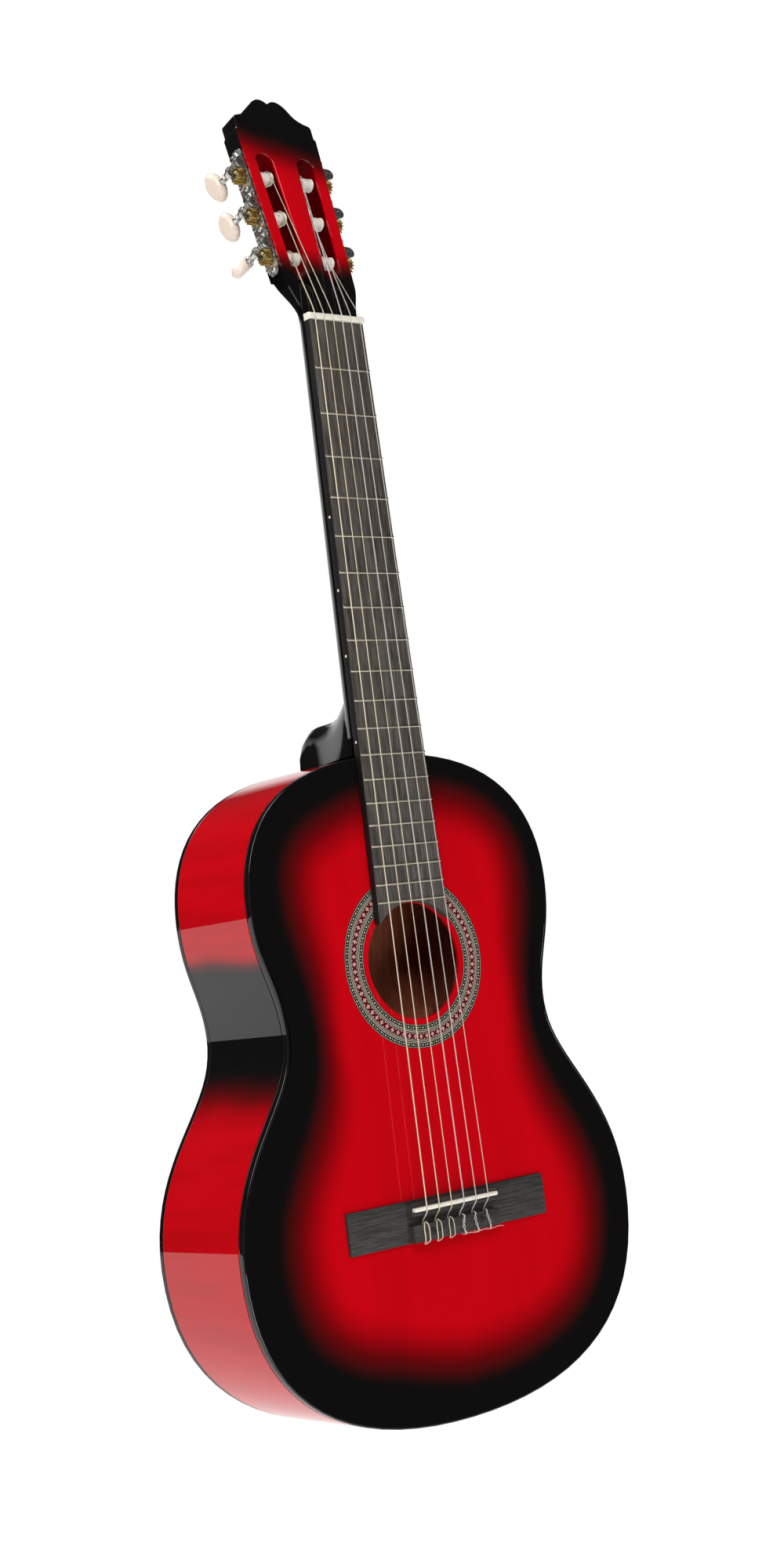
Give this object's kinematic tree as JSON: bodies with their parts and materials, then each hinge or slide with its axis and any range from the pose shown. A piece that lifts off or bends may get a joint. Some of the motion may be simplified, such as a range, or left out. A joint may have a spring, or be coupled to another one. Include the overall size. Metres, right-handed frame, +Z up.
{
  "type": "classical guitar",
  "caption": "Classical guitar: hollow waisted body with round soundhole, flat fretted neck, slotted head with worm-gear tuners, tied bridge, nylon strings.",
  "frame": {"origin": "on the centre line, in the plane of the soundboard's front face, at the front edge of the nut", "axes": "+Z runs up the neck to the head, +X points to the treble side, +Y points to the back of the body"},
  "size_m": [0.361, 0.1266, 0.9969],
  "materials": {
    "burst_top": "gloss red lacquer that fades to black round the edge",
    "red_lacquer": "gloss red lacquer with black shading",
    "black_binding": "gloss black edging",
    "rosette_mosaic": "inlaid mosaic ring under gloss lacquer",
    "inner_wood": "bare planed wood",
    "neck_lacquer": "gloss black lacquer, red on the front of the head",
    "fingerboard_wood": "oiled dark open-grained wood with metal fret wires",
    "bridge_wood": "matte dark open-grained wood",
    "ivory_plastic": "polished off-white",
    "nylon": "clear smooth nylon",
    "wound_string": "fine metal winding, pale gold",
    "plated_steel": "embossed plated steel",
    "gear_brass": "cut brass",
    "roller_plastic": "moulded off-white",
    "button_plastic": "cream moulded, polished"
  },
  "bodies": {
    "instrument": {"soundboard": "burst_top", "back_plate": "red_lacquer", "rib_treble": "red_lacquer", "rib_bass": "red_lacquer", "binding_front": "black_binding", "binding_back": "black_binding", "rosette": "rosette_mosaic", "lining_front_treble": "inner_wood", "lining_back_treble": "inner_wood", "lining_front_bass": "inner_wood", "lining_back_bass": "inner_wood", "cross_brace_upper": "inner_wood", "cross_brace_lower": "inner_wood", "fan_brace_1": "inner_wood", "fan_brace_2": "inner_wood", "fan_brace_3": "inner_wood", "fan_brace_4": "inner_wood", "fan_brace_5": "inner_wood", "back_brace_1": "inner_wood", "back_brace_2": "inner_wood", "back_brace_3": "inner_wood", "neck_block": "inner_wood", "tail_block": "inner_wood", "neck": "neck_lacquer", "fretboard": "fingerboard_wood", "bridge": "bridge_wood", "nut": "ivory_plastic", "saddle": "ivory_plastic", "string_1": "nylon", "string_2": "nylon", "string_3": "nylon", "string_4": "wound_string", "string_5": "wound_string", "string_6": "wound_string", "tuner_plate_treble": "plated_steel", "tuner_plate_bass": "plated_steel"},
    "key_1": {"worm_1": "plated_steel", "button_1": "button_plastic"},
    "post_1": {"gear_1": "gear_brass", "roller_1": "roller_plastic"},
    "key_2": {"worm_2": "plated_steel", "button_2": "button_plastic"},
    "post_2": {"gear_2": "gear_brass", "roller_2": "roller_plastic"},
    "key_3": {"worm_3": "plated_steel", "button_3": "button_plastic"},
    "post_3": {"gear_3": "gear_brass", "roller_3": "roller_plastic"},
    "key_4": {"worm_4": "plated_steel", "button_4": "button_plastic"},
    "post_4": {"gear_4": "gear_brass", "roller_4": "roller_plastic"},
    "key_5": {"worm_5": "plated_steel", "button_5": "button_plastic"},
    "post_5": {"gear_5": "gear_brass", "roller_5": "roller_plastic"},
    "key_6": {"worm_6": "plated_steel", "button_6": "button_plastic"},
    "post_6": {"gear_6": "gear_brass", "roller_6": "roller_plastic"}
  },
  "joints": [
    {"name": "key_1_turn", "type": "hinge", "parent": "instrument", "child": "key_1", "pos_m": [0.03863, 0.01285, 0.06436], "axis": [0, 0.9725, -0.2328], "continuous": true},
    {"name": "post_1_turn", "type": "hinge", "parent": "instrument", "child": "post_1", "pos_m": [0.0331, 0.01975, 0.05451], "axis": [0.9992, -0.0095, -0.0397], "continuous": true},
    {"name": "key_2_turn", "type": "hinge", "parent": "instrument", "child": "key_2", "pos_m": [0.04006, 0.02099, 0.09837], "axis": [0, 0.9725, -0.2328], "continuous": true},
    {"name": "post_2_turn", "type": "hinge", "parent": "instrument", "child": "post_2", "pos_m": [0.03453, 0.02789, 0.08852], "axis": [0.9992, -0.0095, -0.0397], "continuous": true},
    {"name": "key_3_turn", "type": "hinge", "parent": "instrument", "child": "key_3", "pos_m": [0.04149, 0.02913, 0.13238], "axis": [0, 0.9725, -0.2328], "continuous": true},
    {"name": "post_3_turn", "type": "hinge", "parent": "instrument", "child": "post_3", "pos_m": [0.03596, 0.03603, 0.12253], "axis": [0.9992, -0.0095, -0.0397], "continuous": true},
    {"name": "key_4_turn", "type": "hinge", "parent": "instrument", "child": "key_4", "pos_m": [-0.04149, 0.02913, 0.13238], "axis": [0, 0.9725, -0.2328], "continuous": true},
    {"name": "post_4_turn", "type": "hinge", "parent": "instrument", "child": "post_4", "pos_m": [-0.03596, 0.03603, 0.12253], "axis": [0.9992, 0.0095, 0.0397], "continuous": true},
    {"name": "key_5_turn", "type": "hinge", "parent": "instrument", "child": "key_5", "pos_m": [-0.04006, 0.02099, 0.09837], "axis": [0, 0.9725, -0.2328], "continuous": true},
    {"name": "post_5_turn", "type": "hinge", "parent": "instrument", "child": "post_5", "pos_m": [-0.03453, 0.02789, 0.08852], "axis": [0.9992, 0.0095, 0.0397], "continuous": true},
    {"name": "key_6_turn", "type": "hinge", "parent": "instrument", "child": "key_6", "pos_m": [-0.03863, 0.01285, 0.06436], "axis": [0, 0.9725, -0.2328], "continuous": true},
    {"name": "post_6_turn", "type": "hinge", "parent": "instrument", "child": "post_6", "pos_m": [-0.0331, 0.01975, 0.05451], "axis": [0.9992, 0.0095, 0.0397], "continuous": true}
  ],
  "couplings": [
    {"joint": "post_1_turn", "follows": "key_1_turn", "ratio": 0.071429},
    {"joint": "post_2_turn", "follows": "key_2_turn", "ratio": 0.071429},
    {"joint": "post_3_turn", "follows": "key_3_turn", "ratio": 0.071429},
    {"joint": "post_4_turn", "follows": "key_4_turn", "ratio": 0.071429},
    {"joint": "post_5_turn", "follows": "key_5_turn", "ratio": 0.071429},
    {"joint": "post_6_turn", "follows": "key_6_turn", "ratio": 0.071429}
  ]
}
